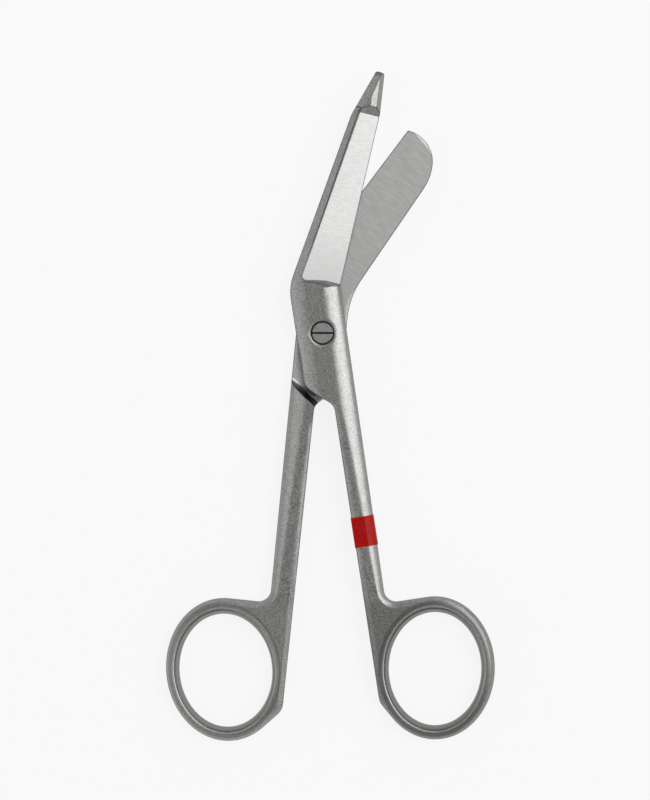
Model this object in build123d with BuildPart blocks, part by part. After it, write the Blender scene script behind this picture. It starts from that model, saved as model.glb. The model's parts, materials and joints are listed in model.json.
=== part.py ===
"""Bandage scissors: two half-lapped arms, a pivot screw and a red colour band. Millimetres."""
import os
from math import acos, atan2, cos, degrees, radians, sin, sqrt

from build123d import *

os.makedirs("parts", exist_ok=True)

# Pose: how far each arm is turned from the closed position, in degrees
probe_turn = 8.7
broad_turn = 6.0

# Lap joint and box, the broad middle where the arms cross
lap_height = 2.2
lap_clearance = 0.08
probe_box_outer = 5.2
probe_box_inner = 5.5
broad_box_outer = 5.6
broad_box_inner = 4.9
box_low = 10.8
crotch_low = 15.3
shoulder_gap = 0.3
shoulder_width = 1.4
undercut_width = 1.6
undercut_height = 1.6

# Handles, measured in the closed position with the centre line on Y
handle_gap = 0.1
ring_height = 1.62
probe_ring_level = 73.0
broad_ring_level = 72.3
ring_long = 11.87
ring_short = 9.72
ring_rim_end = 3.13
ring_rim_side = 2.83
hole_drop = 0.18
probe_ring_tilt = 8.7
broad_ring_tilt = 12.0
hole_flare = 1.15
corner_radius = 2.6
heel_radius = 3.5
probe_shank = 4.45
broad_shank = 5.0
probe_heel = 4.6
broad_heel = 6.2

# Rounding: a wide and a tight arc on the outer contour, one shallow arc on the inner contour
crown_width = 4.1
crown_radius = 6.6
crown_angle = 30.0
crown_edge_angle = 65.0
crown_lift = 0.02
bevel_width = 4.0
bevel_drop = 0.8
break_width = 1.1
break_drop = 0.14
break_start = 20.0
break_full = 30.0

# Probe blade: cutting edge, ground face, ramp and blunt probe tip
edge_thickness = 0.35
ground_slope = 10.9
probe_edge_start = 9.4
probe_edge_angle = 21.8
probe_edge_length = 36.8
probe_tip_width = 1.85
probe_tip_length = 8.5
probe_tip_angle = 15.2
tip_end_angle = 77.0
probe_spine_corner = 10.6
probe_spine_angle = 28.6
probe_spine_length = 38.4
spine_radius = 10.0
edge_root_radius = 3.0
tip_corner = 0.5
ground_corner = 0.9
ground_wall = 32.0
ground_foot = 0.1
ground_kink = 3.4
ground_lean = -0.95
ramp_start = 36.3
ramp_angle = 40.0
band_low = 8.5
band_high = 4.3
probe_rise = 1.35
probe_fall = 5.0
tip_low = 0.42
tip_high = 0.9
tip_spine_bevel = 37.5
tip_edge_bevel = 50.0

# Broad blade: straight cutting edge, round end, spine
broad_bend = 12.6
broad_spine_start = 8.2
broad_spine_angle = 28.4
broad_spine_length = 27.5
broad_spine_radius = 17.0
round_side_radius = 11.0
round_end_radius = 6.6
round_end_sweep = 84.0
round_bevel = 30.0
broad_band_low = 9.1
broad_band_high = 7.4
broad_foot = 2.4
broad_lean = 1.6

# Pivot screw
head_diameter = 4.6
head_depth = 1.25
head_clearance = 0.14
neck_diameter = 3.3
thread_diameter = 2.8
fit_clearance = 0.04
slot_width = 0.42
slot_depth = 0.8

# Colour band
band_level = 42.4
band_length = 6.35
band_thickness = 0.15

half_lap = lap_clearance / 2
cutter_reach = 90.0


def at_angle(start, angle, length):
    """Point at a length from start, the angle measured clockwise from the Y axis."""
    turn = radians(angle)
    return (start[0] + length * sin(turn), start[1] + length * cos(turn))


class Handle:
    """One handle in the closed position: its sizes and the ring geometry that follows."""

    def __init__(self, shank, heel_drop, ring_level, ring_tilt):
        tilt = radians(ring_tilt)
        self.tilt = tilt
        self.long = ring_long + ring_rim_end
        self.short = ring_short + ring_rim_side
        side = sqrt((self.short * cos(tilt)) ** 2 + (self.long * sin(tilt)) ** 2)
        top = sqrt((self.long * cos(tilt)) ** 2 + (self.short * sin(tilt)) ** 2)
        lean = (self.long**2 - self.short**2) * sin(tilt) * cos(tilt)
        self.centre = (handle_gap + side, -ring_level)
        self.crest = (self.centre[0] + lean / top, self.centre[1] + top)
        self.corner = (handle_gap + shank, self.crest[1])
        self.heel = (handle_gap, self.centre[1] - lean / side - heel_drop)
        self.rotation = 90 - ring_tilt

    def place_on_rim(self, point):
        """Ellipse angle of a point and its distance from the centre in units of the rim."""
        dx = point[0] - self.centre[0]
        dy = point[1] - self.centre[1]
        along = (dx * sin(self.tilt) + dy * cos(self.tilt)) / self.long
        across = (dy * sin(self.tilt) - dx * cos(self.tilt)) / self.short
        return atan2(across, along), sqrt(along**2 + across**2)

    def rim(self):
        """Outer edge of the ring, from where the heel runs into it round to its top."""
        angle, reach = self.place_on_rim(self.heel)
        begin = degrees(angle + acos(1 / reach))
        size = (degrees(self.place_on_rim(self.crest)[0]) - begin) % 360
        return EllipticalCenterArc(
            self.centre, self.long, self.short, begin, arc_size=size, rotation=self.rotation
        )

    def edges(self, inner_top, outer_top):
        """Outline of box, shank and ring from the inner to the outer end of the blade."""
        rim = self.rim()
        Polyline(inner_top, (inner_top[0], -box_low), (handle_gap, -crotch_low), self.heel, rim @ 0)
        Polyline(rim @ 1, self.corner, outer_top)

    def soften(self, plan, box_inner):
        """Round the corners that both handles have."""
        fillet(nearest(plan, (-box_inner, -box_low)), 2.0)
        fillet(nearest(plan, (handle_gap, -crotch_low)), 2.5)
        fillet(nearest(plan, self.heel), heel_radius)
        fillet(nearest(plan, self.corner), corner_radius)


probe_handle = Handle(probe_shank, probe_heel, probe_ring_level, probe_ring_tilt)
broad_handle = Handle(broad_shank, broad_heel, broad_ring_level, broad_ring_tilt)


def nearest(shape, point):
    """Outline corner that lies closest to a point."""
    return shape.vertices().sort_by_distance((point[0], point[1], 0))[0]


def ground_plane(start, end, tilt):
    """Plane that holds the line from start to end and rises to its left."""
    run = (Vector(end) - Vector(start)).normalized()
    left = Vector(-run.Y, run.X, 0).normalized()
    rising = left * cos(radians(tilt)) + Vector(0, 0, sin(radians(tilt)))
    return Plane(start, x_dir=run, z_dir=run.cross(rising))


def crown_point(angle, grow=0.0):
    """Point of the crown's section where its normal leans by an angle, measured from the outer edge."""
    tight = radians(crown_angle)
    last = radians(crown_edge_angle)
    edge_radius = (crown_width - crown_radius * sin(tight)) / (sin(last) - sin(tight))
    turn = radians(angle)
    joint = min(turn, tight)
    across = crown_radius * sin(joint) + edge_radius * (sin(turn) - sin(joint)) - crown_width
    drop = crown_radius * (1 - cos(joint)) + edge_radius * (cos(joint) - cos(turn)) - crown_lift
    return (across + grow * sin(turn), lap_height - drop + grow * cos(turn))


def crown_cutter(handle, outer_top, lead):
    """Hollow moulding that rounds the outer contour of shank and ring."""
    corner = Vector(handle.corner)
    heel = Vector(handle.heel)
    down = (corner - Vector(outer_top)).normalized()
    begin = Vector(outer_top) - down * lead
    with BuildLine() as path:
        rim = handle.rim()
        FilletPolyline(begin, corner, rim @ 1, radius=corner_radius)
        Line(rim @ 0, heel + (heel - rim @ 0).normalized() * 4)
    across = Plane(begin, x_dir=(-down.Y, down.X, 0), z_dir=down)
    crest = crown_point(0)
    joint = crown_point(crown_angle)
    past = crown_point(crown_edge_angle + 12)
    with BuildPart() as cutter:
        with BuildSketch(across):
            with BuildLine():
                ThreePointArc(crest, crown_point(crown_angle / 2), joint)
                ThreePointArc(joint, crown_point((crown_angle + crown_edge_angle) / 2), past)
                Polyline(past, (0.5, past[1]), (0.5, lap_height + 1), (crest[0], lap_height + 1), crest)
            make_face()
        sweep(path=path.wire())
    return cutter.part


def bevel_cutter(*points, radius):
    """Shallow moulding that rounds the inner side of the box and the spine of the blade."""
    with BuildLine() as path:
        FilletPolyline(*points, radius=radius)
    across = Plane(origin=(points[0][0], points[0][1], 0), x_dir=(-1, 0, 0), z_dir=(0, 1, 0))
    bevel_radius = (bevel_width**2 + bevel_drop**2) / (2 * bevel_drop)
    crest = lap_height + crown_lift
    reach = 0.4
    middle = crest - bevel_radius + sqrt(bevel_radius**2 - (bevel_width / 2) ** 2)
    low = crest - bevel_radius + sqrt(bevel_radius**2 - (bevel_width + reach) ** 2)
    with BuildPart() as cutter:
        with BuildSketch(across):
            with BuildLine():
                ThreePointArc((-bevel_width, crest), (-bevel_width / 2, middle), (reach, low))
                Polyline((reach, low), (reach, crest + 1), (-bevel_width, crest + 1), (-bevel_width, crest))
            make_face()
        sweep(path=path.wire())
    return cutter.part


def taper_cutter(handle):
    """Wedge that thins the handle from the box to the ring."""
    ring_start = handle.crest[1]
    ring_end = 2 * handle.centre[1]
    fall = (lap_height - ring_height) / (-crotch_low - ring_start)
    with BuildPart() as cutter:
        with BuildSketch(Plane.YZ):
            with BuildLine():
                Polyline(
                    (-crotch_low + 4, lap_height + 4 * fall),
                    (ring_start, ring_height),
                    (ring_end, ring_height),
                    (ring_end, lap_height + 2),
                    (-crotch_low + 4, lap_height + 2),
                    close=True,
                )
            make_face()
        extrude(amount=3 * handle.long, both=True)
    return cutter.part


def break_cutter(handle):
    """Slender wedge that breaks the inner edge of the handle, growing from the crotch down."""
    ring_start = -handle.crest[1]
    fall = (lap_height - ring_height) / (ring_start - crotch_low)
    slope = break_drop / break_width
    with BuildPart() as cutter:
        for level, share in ((break_start, 0.05), (break_full, 1), (ring_start, 1), (4 - handle.heel[1], 1)):
            top = lap_height - fall * (min(level, ring_start) - crotch_low)
            low = top - slope * (share * break_width + 0.5)
            with BuildSketch(Plane.XZ.offset(level)):
                with BuildLine():
                    Polyline(
                        (handle_gap - 0.5, low),
                        (handle_gap + share * break_width + 0.5, top + slope * 0.5),
                        (handle_gap - 0.5, top + slope * 0.5),
                        close=True,
                    )
                make_face()
        loft(ruled=True)
    return cutter.part


def ring_cutter(handle):
    """Finger hole, narrowest at mid height and flaring to both faces."""
    with BuildPart() as cutter:
        for level in (-1, -0.5, 0, 0.5, 1):
            grow = hole_flare * (abs(level) + level**2) / 2
            with BuildSketch(Plane.XY.offset(level * lap_height)):
                with Locations((handle.centre[0], handle.centre[1] - hole_drop)):
                    Ellipse(ring_long + grow, ring_short + grow, rotation=handle.rotation)
        loft()
    return cutter.part


def lap_cutter(other_inner):
    """Half of the box that makes way for the other arm, with a hollow shoulder."""
    low = Vector(-handle_gap, -crotch_low, 0)
    run = (Vector(other_inner, -box_low, 0) - low).normalized()
    away = Vector(run.Y, -run.X, 0)
    foot = shoulder_gap - shoulder_width
    with BuildPart() as cutter:
        with BuildSketch(Plane(low, x_dir=away, z_dir=away.cross(Vector(0, 0, 1)))):
            with BuildLine():
                hollow = EllipticalCenterArc(
                    (foot, -lap_height), shoulder_width, lap_height + half_lap, 0, arc_size=90
                )
                Polyline(
                    hollow @ 1,
                    (-cutter_reach, half_lap),
                    (-cutter_reach, -lap_height - 1),
                    (shoulder_gap, -lap_height - 1),
                    hollow @ 0,
                )
            make_face()
        extrude(amount=cutter_reach, both=True)
    return cutter.part


def undercut_cutter(box_inner):
    """Slope under the lower edge of the box, which clears the other arm's shoulder."""
    low = Vector(handle_gap, -crotch_low, 0)
    run = (Vector(-box_inner, -box_low, 0) - low).normalized()
    out = Vector(-run.Y, run.X, 0)
    with BuildPart() as cutter:
        with BuildSketch(Plane(low, x_dir=out, z_dir=run)):
            with BuildLine():
                Polyline((-undercut_width, 0), (0, undercut_height), (1, undercut_height), (1, 0), close=True)
            make_face()
        extrude(amount=box_low)
    return cutter.part


def cut_both_faces(cutter):
    """Take a cutter away from the upper and the lower face of an arm."""
    add(cutter, mode=Mode.SUBTRACT)
    add(mirror(cutter, about=Plane.XY, mode=Mode.PRIVATE), mode=Mode.SUBTRACT)


# Probe arm in the closed position, its outer face up and its ring on the right
probe_top = (probe_box_outer, probe_edge_start)
probe_edge_end = at_angle(probe_top, probe_edge_angle, probe_edge_length)
tip_right = at_angle(probe_edge_end, probe_tip_angle, probe_tip_length)
tip_left = at_angle(tip_right, probe_tip_angle - tip_end_angle, probe_tip_width)
spine_low = (-probe_box_inner, probe_spine_corner)
spine_high = at_angle(spine_low, probe_spine_angle, probe_spine_length)
past_tip = (2 * tip_left[0] - spine_high[0], 2 * tip_left[1] - spine_high[1])

with BuildPart() as probe_shape:
    with BuildSketch() as probe_plan:
        with BuildLine():
            probe_handle.edges(spine_low, probe_top)
            Polyline(probe_top, probe_edge_end, tip_right, tip_left, spine_high, spine_low)
        make_face()
        probe_handle.soften(probe_plan, probe_box_inner)
        fillet(nearest(probe_plan, spine_low), spine_radius)
        fillet(nearest(probe_plan, spine_high), spine_radius)
        fillet(nearest(probe_plan, probe_top), edge_root_radius)
        fillet(nearest(probe_plan, tip_left), tip_corner)
        fillet(nearest(probe_plan, tip_right), tip_corner)
    extrude(amount=lap_height, both=True)
    cut_both_faces(crown_cutter(probe_handle, probe_top, 0))
    add(
        bevel_cutter((-probe_box_inner, -crotch_low), spine_low, spine_high, past_tip, radius=spine_radius),
        mode=Mode.SUBTRACT,
    )
    cut_both_faces(taper_cutter(probe_handle))
    cut_both_faces(break_cutter(probe_handle))
    add(ring_cutter(probe_handle), mode=Mode.SUBTRACT)
    add(lap_cutter(broad_box_inner), mode=Mode.SUBTRACT)
    add(undercut_cutter(probe_box_inner), mode=Mode.SUBTRACT)
    # Ground face of the blade, ending in a ramp below the probe
    ground = ground_plane((*probe_top, edge_thickness), (*probe_edge_end, edge_thickness), ground_slope)
    with BuildSketch(ground) as ground_plan:
        with BuildLine():
            Polyline(
                (ground_foot, -2),
                (ground_foot, ground_kink),
                (ground_lean, band_low),
                (ramp_start, band_high),
                (ramp_start, -2),
                close=True,
            )
        make_face()
        fillet(nearest(ground_plan, (ground_lean, band_low)), ground_corner)
    extrude(amount=3, taper=-ground_wall, mode=Mode.SUBTRACT)
    ramp_run = ground.x_dir * cos(radians(ramp_angle)) + ground.z_dir * sin(radians(ramp_angle))
    ramp_foot = ground.from_local_coords(Vector(ramp_start, 0, 0))
    with BuildSketch(Plane(ramp_foot, x_dir=ramp_run, z_dir=ramp_run.cross(ground.y_dir))):
        with Locations((0, -2)):
            Rectangle(4, band_high + 2, align=Align.MIN)
    extrude(amount=3, mode=Mode.SUBTRACT)
    # Probe tip: sloped top and a bevel on either side
    probe_run = ground.x_dir * cos(radians(probe_fall)) - ground.z_dir * sin(radians(probe_fall))
    probe_foot = ground.from_local_coords(Vector(ramp_start + 1.2, 0, probe_rise))
    with BuildSketch(Plane(probe_foot, x_dir=probe_run, z_dir=probe_run.cross(ground.y_dir))):
        with Locations((0, -4)):
            Rectangle(3 * probe_tip_length, 12, align=Align.MIN)
    extrude(amount=3, mode=Mode.SUBTRACT)
    with BuildSketch(ground_plane((*tip_left, tip_low), (*spine_high, tip_high), tip_spine_bevel)):
        with Locations((-3, -2)):
            Rectangle(3 + probe_tip_length, 6, align=Align.MIN)
    extrude(amount=3, mode=Mode.SUBTRACT)
    with BuildSketch(ground_plane((*probe_edge_end, tip_high), (*tip_right, tip_low), tip_edge_bevel)):
        with Locations((0, -2)):
            Rectangle(3 + probe_tip_length, 6, align=Align.MIN)
    extrude(amount=3, mode=Mode.SUBTRACT)
    # Pivot hole with a recess for the screw head
    with BuildSketch(Plane.XY.offset(half_lap)):
        Circle(neck_diameter / 2 + fit_clearance)
    extrude(amount=lap_height, mode=Mode.SUBTRACT)
    with BuildSketch(Plane.XY.offset(lap_height - head_depth - fit_clearance)):
        Circle(head_diameter / 2 + head_clearance)
    extrude(amount=lap_height, mode=Mode.SUBTRACT)

# Broad arm in the closed position, turned over so that its outer face is up
broad_top = (broad_box_outer, broad_bend)
broad_spine_low = (-broad_box_inner, broad_spine_start)
broad_spine_high = at_angle(broad_spine_low, -broad_spine_angle, broad_spine_length)
broad_past_tip = at_angle(broad_spine_low, -broad_spine_angle, 2 * broad_spine_length)

with BuildPart() as broad_shape:
    with BuildSketch() as broad_plan:
        with BuildLine():
            broad_handle.edges(broad_spine_low, broad_top)
            Line(broad_spine_low, broad_spine_high)
            side = JernArc(
                broad_spine_high,
                at_angle((0, 0), -broad_spine_angle, 1),
                round_side_radius,
                -broad_spine_angle,
            )
            end = JernArc(side @ 1, side % 1, round_end_radius, -round_end_sweep)
            Line(end @ 1, broad_top)
        make_face()
        broad_tip = ((end @ 1).X, (end @ 1).Y)
        broad_handle.soften(broad_plan, broad_box_inner)
        fillet(nearest(broad_plan, broad_spine_low), broad_spine_radius)
        fillet(nearest(broad_plan, broad_top), spine_radius)
    extrude(amount=lap_height, both=True)
    cut_both_faces(crown_cutter(broad_handle, broad_top, 5))
    add(
        bevel_cutter(
            (-broad_box_inner, -crotch_low), broad_spine_low, broad_past_tip, radius=broad_spine_radius
        ),
        mode=Mode.SUBTRACT,
    )
    cut_both_faces(taper_cutter(broad_handle))
    cut_both_faces(break_cutter(broad_handle))
    add(ring_cutter(broad_handle), mode=Mode.SUBTRACT)
    add(lap_cutter(probe_box_inner), mode=Mode.SUBTRACT)
    add(undercut_cutter(broad_box_inner), mode=Mode.SUBTRACT)
    # Ground face of the blade, running out at the round end
    broad_ground = ground_plane((*broad_top, edge_thickness), (*broad_tip, edge_thickness), ground_slope)
    with BuildSketch(broad_ground) as broad_ground_plan:
        with BuildLine():
            Polyline(
                (broad_foot, -2),
                (broad_lean, broad_band_low),
                (2 * broad_spine_length, broad_band_high),
                (2 * broad_spine_length, -2),
                close=True,
            )
        make_face()
        fillet(nearest(broad_ground_plan, (broad_lean, broad_band_low)), ground_corner)
    extrude(amount=3, taper=-ground_wall, mode=Mode.SUBTRACT)
    # Bevel that takes the corner off the round end on the inner face
    chord_start = Vector(broad_tip[0] - 1.3, broad_tip[1] - 0.2, half_lap)
    chord = Vector(-1, -1, 0).normalized()
    bevel_out = Vector(chord.Y, -chord.X, 0) * sin(radians(round_bevel))
    bevel_down = Vector(0, 0, -cos(radians(round_bevel)))
    with BuildSketch(Plane(chord_start, x_dir=chord, z_dir=bevel_out + bevel_down)):
        Rectangle(cutter_reach, lap_height * 4)
    extrude(amount=3, mode=Mode.SUBTRACT)
    # Threaded hole for the screw
    with BuildSketch(Plane.XY):
        Circle(thread_diameter / 2 + fit_clearance / 2)
    extrude(amount=lap_height, mode=Mode.SUBTRACT)

# Both arms opened to the pose at rest
with BuildPart() as probe_arm:
    with Locations(Location((0, 0, lap_height), (0, 0, probe_turn))):
        add(probe_shape.part)

with BuildPart() as broad_arm:
    with Locations(Location((0, 0, lap_height), (0, 180, broad_turn))):
        add(broad_shape.part)

with BuildPart() as pivot_screw:
    with BuildSketch(Plane.XZ):
        with BuildLine():
            Polyline(
                (0, 0),
                (thread_diameter / 2, 0),
                (thread_diameter / 2, lap_height - half_lap),
                (neck_diameter / 2, lap_height - half_lap),
                (neck_diameter / 2, 2 * lap_height - head_depth),
                (head_diameter / 2, 2 * lap_height - head_depth),
                (head_diameter / 2, 2 * lap_height - 0.25),
                (head_diameter / 2 - 0.2, 2 * lap_height - 0.05),
                (0, 2 * lap_height - 0.05),
                close=True,
            )
        make_face()
    revolve(axis=Axis.Z)
    with BuildSketch(Plane.XY.offset(2 * lap_height)):
        Rectangle(head_diameter + 1, slot_width)
    extrude(amount=-slot_depth, mode=Mode.SUBTRACT)

# Colour band in the closed position, wrapped round the section of the shank at its level
share = (probe_top[1] + band_level) / (probe_top[1] - probe_handle.corner[1])
band_outer = probe_top[0] + (probe_handle.corner[0] - probe_top[0]) * share
share = (-band_level - probe_handle.crest[1]) / (-crotch_low - probe_handle.crest[1])
band_top = ring_height + (lap_height - ring_height) * share + band_thickness
band_left = handle_gap - band_thickness
crown_drop = lap_height + crown_lift + band_thickness - band_top
band_start = degrees(acos(1 - crown_drop / (crown_radius + band_thickness)))
band_angles = [
    band_start,
    (band_start + crown_angle) / 2,
    crown_angle,
    (crown_angle + crown_edge_angle) / 2,
    crown_edge_angle,
]
band_arc = [Vector(*crown_point(angle, band_thickness)) + Vector(band_outer, 0) for angle in band_angles]

with BuildPart() as band_shape:
    with BuildSketch(Plane.XZ.offset(band_level)) as band_plan:
        with BuildLine():
            Polyline(band_arc[0], (band_left, band_top), (band_left, 0))
            ThreePointArc(*band_arc[:3])
            ThreePointArc(*band_arc[2:])
            Polyline(band_arc[4], (band_arc[4].X, 0), (band_left, 0))
        make_face()
        mirror(about=Plane.XZ)
    extrude(amount=band_length / 2, both=True)
    add(probe_shape.part, mode=Mode.SUBTRACT)

with BuildPart() as colour_band:
    with Locations(Location((0, 0, lap_height), (0, 0, probe_turn))):
        add(band_shape.part)

for node, piece in (
    ("probe_arm", probe_arm),
    ("broad_arm", broad_arm),
    ("pivot_screw", pivot_screw),
    ("colour_band", colour_band),
):
    piece.part.label = node
    export_step(piece.part, "parts/" + node + ".step")
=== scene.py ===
"""Bandage scissors lying part open on a pale table, seen from straight above."""
import json
from collections import namedtuple
from math import cos, pi, radians, sin
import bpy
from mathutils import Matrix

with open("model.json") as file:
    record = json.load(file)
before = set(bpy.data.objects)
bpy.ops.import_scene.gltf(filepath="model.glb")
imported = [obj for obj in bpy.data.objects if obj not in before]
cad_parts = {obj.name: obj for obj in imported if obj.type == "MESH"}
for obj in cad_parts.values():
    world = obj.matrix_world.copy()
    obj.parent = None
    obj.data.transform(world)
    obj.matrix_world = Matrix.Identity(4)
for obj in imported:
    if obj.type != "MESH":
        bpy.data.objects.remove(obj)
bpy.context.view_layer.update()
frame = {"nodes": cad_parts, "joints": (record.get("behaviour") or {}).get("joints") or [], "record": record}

from types import SimpleNamespace

import bpy
from mathutils import Vector

MM = 0.001
RIGHT = (1.0, 0.0, 0.0)
AHEAD = (0.0, 1.0, 0.0)
UP = (0.0, 0.0, 1.0)
WHITE = (1.0, 1.0, 1.0, 1.0)

# Camera and table; lengths are metres where the name doesn't say millimetres
LENS_MM = 135.0
SENSOR_MM = 36.0
CAMERA_PLACE = (0.000525, -0.01403, 0.632)
TABLE_HALF = 4.0
TABLE_LEVEL = -0.02 * MM
TABLE_COLOUR = (0.93, 0.93, 0.93, 1.0)
TABLE_ROUGH = 0.9
TABLE_GLOW = 0.86

# Places along AHEAD from the pivot in millimetres; a pair is where a fade starts and where it ends.
# SHOULDER_REACH is measured from SHOULDER_PLACE, to either side.
RINGS_END = (-58.0, -55.0)
SHANK_START = (-56.0, -44.0)
BOX_START = (-17.0, -16.0)
BOX_END = (-3.0, -1.0)
SHOULDER_PLACE = -13.5
SHOULDER_REACH = (5.0, 6.0)
CORNER_END = (-11.5, -10.5)
BLADE_CREASE_START = (7.0, 9.5)
BLADE_START = (8.0, 9.0)
BLADE_EDGES_START = (8.0, 10.0)
BEVEL_HEEL_END = (9.0, 24.0)
TIP_END_START = (53.8, 54.4)

# Places along RIGHT from the pivot in millimetres, the corner's to either side
BOX_LEFT = (-2.5, -1.5)
CORNER_REACH = (3.3, 4.1)

# Heights in millimetres: the lap's and the screw's above the table, then those above or below the lap
LAP_HEIGHT = frame["joints"][0]["pos_m"][2] / MM
SCREW_END = (0.02, 0.1)
SCREW_FACE = (4.0, 4.25)
LAP_REACH = (0.12, 0.2)
SIDE_START = (0.004, 0.02)
SHOULDER_TOP = (1.9, 2.05)
CORNER_TOP = (0.9, 1.6)

# Finger holes in millimetres: centres, half sizes, and where each line round the rim fades in and out
MOUNTS = {mount["name"]: [place / MM for place in mount["pos_m"]] for mount in frame["record"]["mounts"]}
HOLE_SHORT = 9.72
HOLE_LONG = 11.87
RIM_SHIFT = 0.25
# The inside line and the outer band are painted dark reflection, the edge line a painted highlight, the ridge
# a bump
RIM_INSIDE_BAND = (0.45, 0.65), (0.85, 1.05)
RIM_EDGE_BAND = (0.95, 1.1), (1.25, 1.45)
RIM_RIDGE_BAND = (0.95, 1.12), (1.3, 1.9)
RIM_DARK_REFLECTION_BAND = (1.3, 1.5), (2.0, 2.5)

# Cosines of the angle from a normal to a direction or to the softened normal, where a fade starts and ends
LEVEL = (0.98, 0.995)
STEEP = (0.45, 0.85)
BEVEL_FACING = (0.9985, 0.9996)
SHOULDER_FACING = (0.05, 0.2)
EDGE_TURN = (0.92, 0.985)
CRISP_EDGE_TURN = (0.96, 0.995)

# Relief, edge lines of painted shade and softened creases, in millimetres, and what multiplies them in places
STEEL_DEPTH = 0.005
RIDGE_HEIGHT = 0.045
SCREW_DEPTH = 0.004
TAPE_DEPTH = 0.004
RING_RELIEF_FACTOR = 2.0
GROUND_RELIEF_FACTOR = 0.5
LINE_WIDTH = 0.4
# The box's left edge takes a broader line of painted shadow
BOX_SHADOW_WIDTH = 0.8
RING_CREASE = 0.25
SHANK_CREASE = 1.2
SEAT_CREASE = 0.3
BLADE_CREASE_FACTOR = 0.2
EDGE_SAMPLES = 8

# Noises: weights of two that add up, values between which one fades in, degrees from shank to scratches
RELIEF_SUM = (0.7, 0.3)
SPECK_SUM = (0.8, 0.2)
ROUGH_SUM = (1.0, 0.4)
NOISE_SPREAD = (0.3, 0.7)
SPECK_SPREAD = (0.34, 0.66)
ROUGH_SPREAD = (0.45, 0.95)
SCRATCH_TURN = 35.0
SCREW_RINGS_PER_MM = 7.0

# Roughness, from the low to the high of a noise, and the tape's gloss
SATIN_ROUGH = (0.27, 0.40)
GROUND_ROUGH = (0.42, 0.5)
SCREW_ROUGH = (0.3, 0.42)
SLOT_ROUGH = 0.6
TAPE_ROUGH = (0.24, 0.34)
TAPE_GLOSS = 0.2

# Sockets of a Mix node that mixes colours
MIX_SHARE = 0
MIX_FIRST = 6
MIX_SECOND = 7
MIX_RESULT = 2

# Finishes, from dark to light, and the painted shade in the screw's slot
SATIN = (0.32, 0.316, 0.308, 1.0), (0.57, 0.566, 0.556, 1.0)
BEVEL = (0.78, 0.78, 0.772, 1.0), (0.89, 0.89, 0.882, 1.0)
REAR = (0.60, 0.60, 0.585, 1.0), (0.72, 0.72, 0.704, 1.0)
SCREW = (0.46, 0.455, 0.445, 1.0), (0.56, 0.555, 0.545, 1.0)
SCREW_SLOT_SHADE = (0.06, 0.058, 0.054, 1.0)
TAPE = (0.44, 0.003, 0.002, 1.0), (0.52, 0.006, 0.005, 1.0)

# Coats over the finishes, each with the share of the finish that it hides; the arms give the share of the
# painted dark reflection round the finger hole
Coat = namedtuple("Coat", "colour share")
# Painted shade on steep walls
WALL_PAINTED_SHADE = Coat((0.20, 0.196, 0.188, 1.0), 0.9)
# Painted light on the shoulder's sloped face
SHOULDER_PAINTED_LIGHT = Coat((0.62, 0.616, 0.608, 1.0), 0.7)
# Painted shade in the corner under the box's edge, near the pivot
CORNER_PAINTED_SHADE = Coat((0.07, 0.068, 0.064, 1.0), 0.85)
BEVEL_HEEL = Coat((0.66, 0.66, 0.655, 1.0), 0.7)
TIP_END = Coat((0.10, 0.098, 0.094, 1.0), 0.5)
# Painted shade in thin lines along edges and creases
EDGE_SHADE_LINE = Coat((0.08, 0.078, 0.074, 1.0), 0.9)
# Painted dark reflection in a line close round the finger hole
RIM_INSIDE_DARK_REFLECTION = Coat((0.13, 0.127, 0.121, 1.0), 0.5)
# Painted highlight in a line round the finger hole
RIM_EDGE_HIGHLIGHT = Coat((0.72, 0.715, 0.70, 1.0), 0.55)
# Painted dark reflection in a wider band further out round the finger hole
RIM_DARK_REFLECTION = (0.15, 0.147, 0.141, 1.0)

# What differs between the arms. The shank, cutting edge and hole are turned by degrees clockwise from AHEAD.
# Ground and shoulder are the ways that those faces look. Side is 1 where the shoulder lies above the lap and
# -1 where it lies below. The box line is 1 where the left edge of the box has a broad line of painted shadow.
Arm = namedtuple("Arm", "shank edge ground shoulder side hole hole_turn ring groove box_line")
PROBE = Arm(
    shank=-8.7,
    edge=13.1,
    ground=(0.184, -0.043, 0.982),
    shoulder=(-0.7, 0.71, 0.0),
    side=-1.0,
    hole=MOUNTS["right_finger_ring"],
    hole_turn=0.0,
    ring=Coat((0.20, 0.196, 0.19, 1.0), 0.35),
    # share of the painted dark reflection band round this finger hole
    groove=Coat(RIM_DARK_REFLECTION, 0.65),
    box_line=1.0,
)
BROAD = Arm(
    shank=6.0,
    edge=36.9,
    ground=(-0.15, 0.11, -0.982),
    shoulder=(0.765, 0.644, 0.0),
    side=1.0,
    hole=MOUNTS["left_finger_ring"],
    hole_turn=-6.0,
    ring=Coat((0.60, 0.59, 0.54, 1.0), 0.2),
    # share of the painted dark reflection band round this finger hole
    groove=Coat(RIM_DARK_REFLECTION, 0.4),
    box_line=0.0,
)


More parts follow.
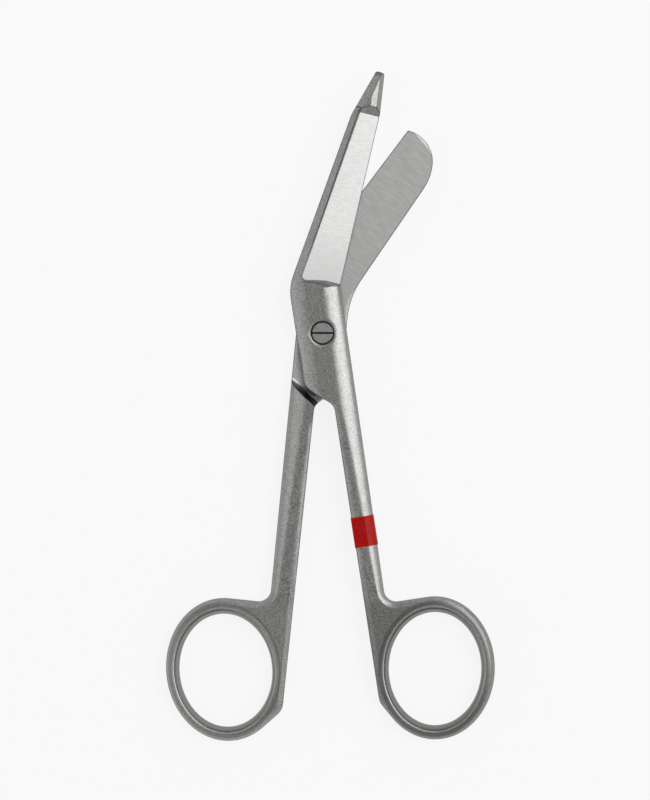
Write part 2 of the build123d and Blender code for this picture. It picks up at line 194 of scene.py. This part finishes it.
class Finish:
    """A material with one Principled shader, and the few kinds of node that drive it, in millimetres."""

    def __init__(self, name):
        self.material = bpy.data.materials.new(name)
        self.material.use_nodes = True
        self.tree = self.material.node_tree
        self.shader = self.tree.nodes["Principled BSDF"]
        texture = self.node("ShaderNodeTexCoord")
        self.point = self.vector("DIVIDE", texture.outputs["Object"], (MM, MM, MM))
        self.normal = texture.outputs["Normal"]

    def node(self, kind, **settings):
        made = self.tree.nodes.new(kind)
        for key, value in settings.items():
            setattr(made, key, value)
        return made

    def feed(self, socket, value):
        """Links a socket to a node's output, or sets it to a constant."""
        if isinstance(value, bpy.types.NodeSocket):
            self.tree.links.new(value, socket)
        else:
            socket.default_value = value

    def give(self, **inputs):
        """Feeds the shader's sockets, named with _ for a space."""
        for key, value in inputs.items():
            self.feed(self.shader.inputs[key.replace("_", " ")], value)

    def math(self, operation, first, second=0.0):
        made = self.node("ShaderNodeMath", operation=operation)
        self.feed(made.inputs[0], first)
        self.feed(made.inputs[1], second)
        return made.outputs[0]

    def times(self, product, *factors):
        for factor in factors:
            product = self.math("MULTIPLY", product, factor)
        return product

    def weighted(self, first, second, weights):
        """Sum of two values, each with its weight."""
        return self.math("ADD", self.times(first, weights[0]), self.times(second, weights[1]))

    def vector(self, operation, first, second=(0.0, 0.0, 0.0)):
        made = self.node("ShaderNodeVectorMath", operation=operation)
        self.feed(made.inputs[0], first)
        self.feed(made.inputs[1], second)
        return made.outputs["Value" if operation in ("DOT_PRODUCT", "LENGTH") else "Vector"]

    def dot(self, first, second):
        return self.vector("DOT_PRODUCT", first, second)

    def step(self, value, low, high, to_low=0.0, to_high=1.0):
        """Smooth fade from one result to another while a value goes from low to high."""
        made = self.node("ShaderNodeMapRange", interpolation_type="SMOOTHSTEP")
        for socket, entry in zip(made.inputs, (value, low, high, to_low, to_high)):
            self.feed(socket, entry)
        return made.outputs["Result"]

    def fall(self, value, low, high):
        """Share that falls from 1 to 0."""
        return self.step(value, low, high, 1.0, 0.0)

    def band(self, value, fade_in, fade_out):
        """Share that rises from 0 to 1 and then falls again."""
        return self.times(self.step(value, *fade_in), self.fall(value, *fade_out))

    def mix(self, share, first, second):
        made = self.node("ShaderNodeMix", data_type="FLOAT")
        for key, entry in (("Factor", share), ("A", first), ("B", second)):
            self.feed(made.inputs[key], entry)
        return made.outputs["Result"]

    def tint(self, share, first, second):
        """Colour that goes from the first to the second as the share goes from 0 to 1."""
        made = self.node("ShaderNodeMix", data_type="RGBA")
        for index, entry in ((MIX_SHARE, share), (MIX_FIRST, first), (MIX_SECOND, second)):
            self.feed(made.inputs[index], entry)
        return made.outputs[MIX_RESULT]

    def coat(self, under, where, coat):
        """Colour with a coat over it where a share is 1."""
        return self.tint(self.times(where, coat.share), under, coat.colour)

    def turned(self, turn):
        """The point measured across and along a direction turned clockwise from AHEAD, in degrees."""
        sine, cosine = sin(radians(turn)), cos(radians(turn))
        made = self.node("ShaderNodeCombineXYZ")
        for socket, way in zip(made.inputs, ((cosine, -sine, 0.0), (sine, cosine, 0.0), UP)):
            self.feed(socket, self.dot(self.point, way))
        return made.outputs[0]

    def round_edge(self, width):
        """Normal that turns softly over creases and edges, within a width on either side."""
        made = self.node("ShaderNodeBevel", samples=EDGE_SAMPLES)
        self.feed(made.inputs["Radius"], self.times(width, MM))
        return made.outputs["Normal"]

    def edge_line(self, width, sharp, blunt):
        """Share that rises to 1 along edges; sharp and blunt are cosines of the softened normal's turn."""
        shape = self.node("ShaderNodeNewGeometry")
        return self.fall(self.dot(self.round_edge(width), shape.outputs["Normal"]), sharp, blunt)

    def rim(self, centre, turn):
        """Distance outwards from the narrowest edge of a finger hole, whose long axis is turned clockwise."""
        sine, cosine = sin(radians(turn)), cos(radians(turn))
        from_centre = self.vector("SUBTRACT", self.point, centre)
        across = self.dot(from_centre, (cosine / HOLE_SHORT, -sine / HOLE_SHORT, 0.0))
        along = self.dot(from_centre, (sine / HOLE_LONG, cosine / HOLE_LONG, 0.0))
        squares = self.math("ADD", self.math("POWER", across, 2.0), self.math("POWER", along, 2.0))
        beyond = self.math("SUBTRACT", self.math("SQRT", squares), 1.0)
        return self.times(beyond, (HOLE_SHORT + HOLE_LONG) / 2.0)

    def noise(self, point, across, along, detail=2.0, roughness=0.55):
        """Noise whose grains are across by along millimetres in the given frame."""
        made = self.node("ShaderNodeTexNoise")
        per_grain = (1.0 / across, 1.0 / along, 1.0 / min(across, along))
        self.feed(made.inputs["Vector"], self.vector("MULTIPLY", point, per_grain))
        for key, value in (("Scale", 1.0), ("Detail", detail), ("Roughness", roughness)):
            self.feed(made.inputs[key], value)
        return made.outputs["Fac"]

    def relief(self, height, depth, normal=None):
        """Bump of the given depth, on top of a normal where one is given."""
        made = self.node("ShaderNodeBump")
        for key, value in (("Strength", 1.0), ("Distance", depth * MM), ("Height", height)):
            self.feed(made.inputs[key], value)
        if normal is not None:
            self.feed(made.inputs["Normal"], normal)
        return made.outputs["Normal"]


def find_zones(made, arm):
    """How far ahead a point of an arm lies, and shares that say which part of the arm it is on."""
    ahead = made.dot(made.point, AHEAD)
    aside = made.dot(made.point, RIGHT)
    above_lap = made.math("SUBTRACT", made.dot(made.point, UP), LAP_HEIGHT)
    off_lap = made.math("ABSOLUTE", above_lap)
    lean = made.math("ABSOLUTE", made.dot(made.normal, UP))
    from_shoulder = made.math("ABSOLUTE", made.math("SUBTRACT", ahead, SHOULDER_PLACE))

    lap = made.times(made.fall(off_lap, *LAP_REACH), made.step(lean, *LEVEL))
    bevel = made.step(made.dot(made.normal, arm.ground), *BEVEL_FACING)
    bevel = made.times(bevel, made.step(ahead, *BLADE_START))
    own_side = made.step(made.times(above_lap, arm.side), *SIDE_START)
    seat = made.times(made.fall(from_shoulder, *SHOULDER_REACH), made.math("MAXIMUM", lap, own_side))
    facing = made.step(made.dot(made.normal, arm.shoulder), *SHOULDER_FACING)
    near_pivot = made.fall(made.math("ABSOLUTE", aside), *CORNER_REACH)
    in_corner = made.times(made.fall(ahead, *CORNER_END), made.fall(off_lap, *CORNER_TOP))
    return SimpleNamespace(
        ahead=ahead,
        lap=lap,
        ground=made.math("MAXIMUM", bevel, lap),
        ring=made.fall(ahead, *RINGS_END),
        # painted shade on the steep walls
        wall_shade=made.fall(lean, *STEEP),
        seat=seat,
        # painted light on the shoulder's sloped face, where it faces the arm's shoulder way
        shoulder=made.times(seat, facing, made.fall(off_lap, *SHOULDER_TOP)),
        # painted shade in the corner under the box's edge
        corner=made.times(in_corner, near_pivot, seat),
        # painted shadow in a broad line along the box's left edge
        box_edge_shadow=made.times(made.band(ahead, BOX_START, BOX_END), made.fall(aside, *BOX_LEFT), arm.box_line),
    )


def find_rim(made, arm):
    """Shares for the lines round a finger hole, from the flare outwards: painted dark reflection, painted
    highlight, a raised ridge, and a wider band of painted dark reflection.
    """
    out = made.rim((arm.hole[0] - RIM_SHIFT, arm.hole[1], 0.0), arm.hole_turn)
    return SimpleNamespace(
        # painted dark reflection
        inside=made.band(out, *RIM_INSIDE_BAND),
        # painted highlight
        edge=made.band(out, *RIM_EDGE_BAND),
        ridge=made.band(out, *RIM_RIDGE_BAND),
        # painted dark reflection, a wider band
        groove=made.band(out, *RIM_DARK_REFLECTION_BAND),
    )


def find_marks(made, arm):
    """Noises for the steel: satin grain and scratches on the handle, grinding marks across the blade."""
    handle = made.turned(arm.shank)
    scratched = made.turned(arm.shank + SCRATCH_TURN)
    blade = made.turned(arm.edge)
    return SimpleNamespace(
        grain=made.noise(handle, across=0.5, along=0.2, detail=3.0),
        blotch=made.noise(handle, across=1.1, along=1.6, detail=4.0, roughness=0.65),
        scratch=made.noise(scratched, across=0.16, along=2.6),
        lines=made.noise(blade, across=4.0, along=0.13),
        strokes=made.noise(blade, across=2.6, along=0.32, detail=3.0, roughness=0.6),
    )


def steel_normal(made, zone, rim, marks):
    """Fine relief over softened creases, and a worn ridge round the finger hole."""
    satin = made.weighted(marks.grain, marks.scratch, RELIEF_SUM)
    satin = made.times(satin, made.mix(zone.ring, 1.0, RING_RELIEF_FACTOR))
    relief = made.mix(zone.ground, satin, made.times(marks.lines, GROUND_RELIEF_FACTOR))
    crease = made.step(zone.ahead, *SHANK_START, RING_CREASE, SHANK_CREASE)
    crease = made.times(crease, made.step(zone.ahead, *BLADE_CREASE_START, 1.0, BLADE_CREASE_FACTOR))
    softened = made.round_edge(made.mix(zone.seat, crease, SEAT_CREASE))
    return made.relief(rim.ridge, RIDGE_HEIGHT, made.relief(relief, STEEL_DEPTH, softened))


def satin_colour(made, arm, zone, rim, marks):
    """Speckled satin steel, with painted shade on the walls, painted light on the shoulder, and lines of
    painted highlight and painted dark reflection round the finger hole.
    """
    speck = made.weighted(marks.grain, marks.blotch, SPECK_SUM)
    colour = made.tint(made.step(speck, *SPECK_SPREAD), *SATIN)
    colour = made.coat(colour, zone.ring, arm.ring)
    # painted shade on the steep walls
    colour = made.coat(colour, zone.wall_shade, WALL_PAINTED_SHADE)
    # painted light on the shoulder
    colour = made.coat(colour, zone.shoulder, SHOULDER_PAINTED_LIGHT)
    # painted dark reflection close round the finger hole
    colour = made.coat(colour, rim.inside, RIM_INSIDE_DARK_REFLECTION)
    # painted dark reflection in a wider band round the finger hole
    colour = made.coat(colour, rim.groove, arm.groove)
    # painted highlight round the finger hole
    return made.coat(colour, rim.edge, RIM_EDGE_HIGHLIGHT)


def steel_colour(made, arm, zone, rim, marks):
    """Satin steel and ground faces, a dark tip end, painted shade in the corner at the shoulder and thin
    lines of painted shade along edges.
    """
    stroke = made.step(marks.strokes, *NOISE_SPREAD)
    bevel = made.coat(made.tint(stroke, *BEVEL), made.fall(zone.ahead, *BEVEL_HEEL_END), BEVEL_HEEL)
    ground = made.tint(zone.lap, bevel, made.tint(stroke, *REAR))
    colour = made.tint(zone.ground, satin_colour(made, arm, zone, rim, marks), ground)
    colour = made.coat(colour, made.step(zone.ahead, *TIP_END_START), TIP_END)
    # painted shade in the corner at the shoulder
    colour = made.coat(colour, zone.corner, CORNER_PAINTED_SHADE)
    # thin lines of painted shade along edges, crisper on the blade, and a broad painted shadow at the box's
    # left edge
    crisp = made.math("MAXIMUM", made.step(zone.ahead, *BLADE_EDGES_START), zone.box_edge_shadow)
    width = made.mix(zone.box_edge_shadow, LINE_WIDTH, BOX_SHADOW_WIDTH)
    sharp, blunt = (made.mix(crisp, *turns) for turns in zip(EDGE_TURN, CRISP_EDGE_TURN))
    return made.coat(colour, made.edge_line(width, sharp, blunt), EDGE_SHADE_LINE)


def steel_roughness(made, zone, marks):
    """Uneven roughness, higher on the ground faces."""
    uneven = made.weighted(marks.grain, marks.scratch, ROUGH_SUM)
    satin = made.step(uneven, *ROUGH_SPREAD, *SATIN_ROUGH)
    return made.mix(zone.ground, satin, made.step(marks.lines, *NOISE_SPREAD, *GROUND_ROUGH))


def steel(name, arm):
    """Forged stainless steel: satin handles and box, blade faces ground across the blade, worn ridges round
    the finger holes with lines of painted highlight and painted dark reflection beside them.
    """
    made = Finish(name)
    zone = find_zones(made, arm)
    rim = find_rim(made, arm)
    marks = find_marks(made, arm)
    made.give(
        Base_Color=steel_colour(made, arm, zone, rim, marks),
        Roughness=steel_roughness(made, zone, marks),
        Normal=steel_normal(made, zone, rim, marks),
        Metallic=1.0,
    )
    return made.material


def screw_steel():
    """Turned screw: fine rings on both ends, and painted shade in the slot and down the shank."""
    made = Finish("screw_steel")
    rings = made.node("ShaderNodeTexNoise", noise_dimensions="1D")
    made.feed(rings.inputs["W"], made.vector("LENGTH", made.vector("MULTIPLY", made.point, (1.0, 1.0, 0.0))))
    made.feed(rings.inputs["Scale"], SCREW_RINGS_PER_MM)
    grain = made.noise(made.point, across=0.3, along=0.3)
    # painted shade below the screw's face, in the slot and round the shank
    dark = made.band(made.dot(made.point, UP), SCREW_END, SCREW_FACE)
    made.give(
        Base_Color=made.tint(dark, made.tint(made.step(grain, *NOISE_SPREAD), *SCREW), SCREW_SLOT_SHADE),
        Roughness=made.mix(dark, made.step(grain, *NOISE_SPREAD, *SCREW_ROUGH), SLOT_ROUGH),
        Normal=made.relief(made.math("ADD", rings.outputs["Fac"], grain), SCREW_DEPTH),
        Metallic=1.0,
    )
    return made.material


def red_tape():
    """Red marking tape with a soft gloss."""
    made = Finish("red_tape")
    wound = made.turned(PROBE.shank)
    cloud = made.noise(wound, across=1.6, along=1.2, detail=3.0)
    grain = made.noise(wound, across=0.3, along=0.3)
    made.give(
        Base_Color=made.tint(made.step(cloud, *NOISE_SPREAD), *TAPE),
        Roughness=made.step(grain, *NOISE_SPREAD, *TAPE_ROUGH),
        Normal=made.relief(made.math("ADD", cloud, grain), TAPE_DEPTH),
        Specular_IOR_Level=TAPE_GLOSS,
    )
    return made.material


def pale_table():
    """Matt white that also glows in what the camera and reflections see, and still takes a shadow."""
    made = Finish("pale_table")
    made.give(Base_Color=TABLE_COLOUR, Roughness=TABLE_ROUGH, Specular_IOR_Level=0.0)
    path = made.node("ShaderNodeLightPath")
    seen = made.math("MAXIMUM", path.outputs["Is Camera Ray"], path.outputs["Is Glossy Ray"])
    seen = made.math("MAXIMUM", seen, path.outputs["Is Transmission Ray"])
    glow = made.node("ShaderNodeEmission")
    made.feed(glow.inputs["Color"], WHITE)
    made.feed(glow.inputs["Strength"], 1.0)
    both = made.node("ShaderNodeMixShader")
    made.feed(both.inputs[0], made.times(seen, TABLE_GLOW))
    made.feed(both.inputs[1], made.shader.outputs[0])
    made.feed(both.inputs[2], glow.outputs[0])
    made.feed(made.tree.nodes["Material Output"].inputs["Surface"], both.outputs[0])
    return made.material


def add_table():
    """A wide table top just under the scissors."""
    mesh = bpy.data.meshes.new("table_top")
    corners = ((-1, -1), (1, -1), (1, 1), (-1, 1))
    mesh.from_pydata([(x * TABLE_HALF, y * TABLE_HALF, TABLE_LEVEL) for x, y in corners], [], [(0, 1, 2, 3)])
    top = bpy.data.objects.new("table_top", mesh)
    bpy.context.scene.collection.objects.link(top)
    mesh.materials.append(pale_table())


def toward(turn, tilt):
    """Direction at an azimuth from RIGHT and a polar angle from the zenith, in degrees."""
    flat = sin(radians(tilt))
    return Vector((flat * cos(radians(turn)), flat * sin(radians(turn)), cos(radians(tilt))))


def glow_strength(tree, way, centre, narrow, wide, middle, edge):
    """Strength that goes from middle to edge as the angle from a centre goes from narrow to wide degrees."""
    apart = tree.nodes.new("ShaderNodeVectorMath")
    apart.operation = "DOT_PRODUCT"
    tree.links.new(way, apart.inputs[0])
    apart.inputs[1].default_value = centre
    angle = tree.nodes.new("ShaderNodeMath")
    angle.operation = "ARCCOSINE"
    tree.links.new(apart.outputs["Value"], angle.inputs[0])
    fade = tree.nodes.new("ShaderNodeMapRange")
    fade.interpolation_type = "SMOOTHSTEP"
    tree.links.new(angle.outputs[0], fade.inputs["Value"])
    fade.inputs["From Min"].default_value = radians(narrow)
    fade.inputs["From Max"].default_value = radians(wide)
    fade.inputs["To Min"].default_value = middle
    fade.inputs["To Max"].default_value = edge
    return fade.outputs["Result"]


def add_room():
    """A pale room, dim overhead, with a broad soft light on the right and a faint one on the left."""
    world = bpy.data.worlds.new("room")
    world.use_nodes = True
    tree = world.node_tree
    way = tree.nodes.new("ShaderNodeTexCoord").outputs["Generated"]
    total = glow_strength(tree, way, toward(0.0, 0.0), narrow=8.0, wide=75.0, middle=0.1, edge=0.52)
    right = glow_strength(tree, way, toward(22.0, 39.0), narrow=8.0, wide=37.0, middle=2.0, edge=0.0)
    left = glow_strength(tree, way, toward(188.0, 34.0), narrow=10.0, wide=38.0, middle=0.55, edge=0.0)
    for glow in (right, left):
        added = tree.nodes.new("ShaderNodeMath")
        tree.links.new(total, added.inputs[0])
        tree.links.new(glow, added.inputs[1])
        total = added.outputs[0]
    back = tree.nodes["Background"]
    tree.links.new(total, back.inputs["Strength"])
    back.inputs["Color"].default_value = WHITE
    bpy.context.scene.world = world


def add_softbox(name, turn, tilt, distance, size, radiance):
    """A rectangular lamp at an azimuth from RIGHT and a polar angle from the zenith, facing the scissors."""
    data = bpy.data.lights.new(name, "AREA")
    data.shape = "RECTANGLE"
    data.size, data.size_y = size
    data.energy = radiance * pi * size[0] * size[1]
    lamp = bpy.data.objects.new(name, data)
    bpy.context.scene.collection.objects.link(lamp)
    way = toward(turn, tilt)
    lamp.location = way * distance
    lamp.rotation_mode = "QUATERNION"
    lamp.rotation_quaternion = way.to_track_quat("Z", "Y")
    lamp.visible_camera = False


def add_camera():
    """A long lens straight above the scissors."""
    data = bpy.data.cameras.new("camera")
    data.lens = LENS_MM
    data.sensor_width = SENSOR_MM
    camera = bpy.data.objects.new("camera", data)
    bpy.context.scene.collection.objects.link(camera)
    camera.location = CAMERA_PLACE
    bpy.context.scene.camera = camera


def paint(node, material):
    """Gives a CAD node its material, and leaves its mesh as it is."""
    slot = frame["nodes"][node].material_slots[0]
    slot.link = "OBJECT"
    slot.material = material


bpy.context.scene.view_settings.view_transform = "Standard"
add_camera()
add_table()
add_room()
add_softbox("corner_softbox", turn=52.0, tilt=62.0, distance=1.0, size=(0.5, 0.4), radiance=1.2)
paint("probe_arm", steel("probe_steel", PROBE))
paint("broad_arm", steel("broad_steel", BROAD))
paint("pivot_screw", screw_steel())
paint("colour_band", red_tape())
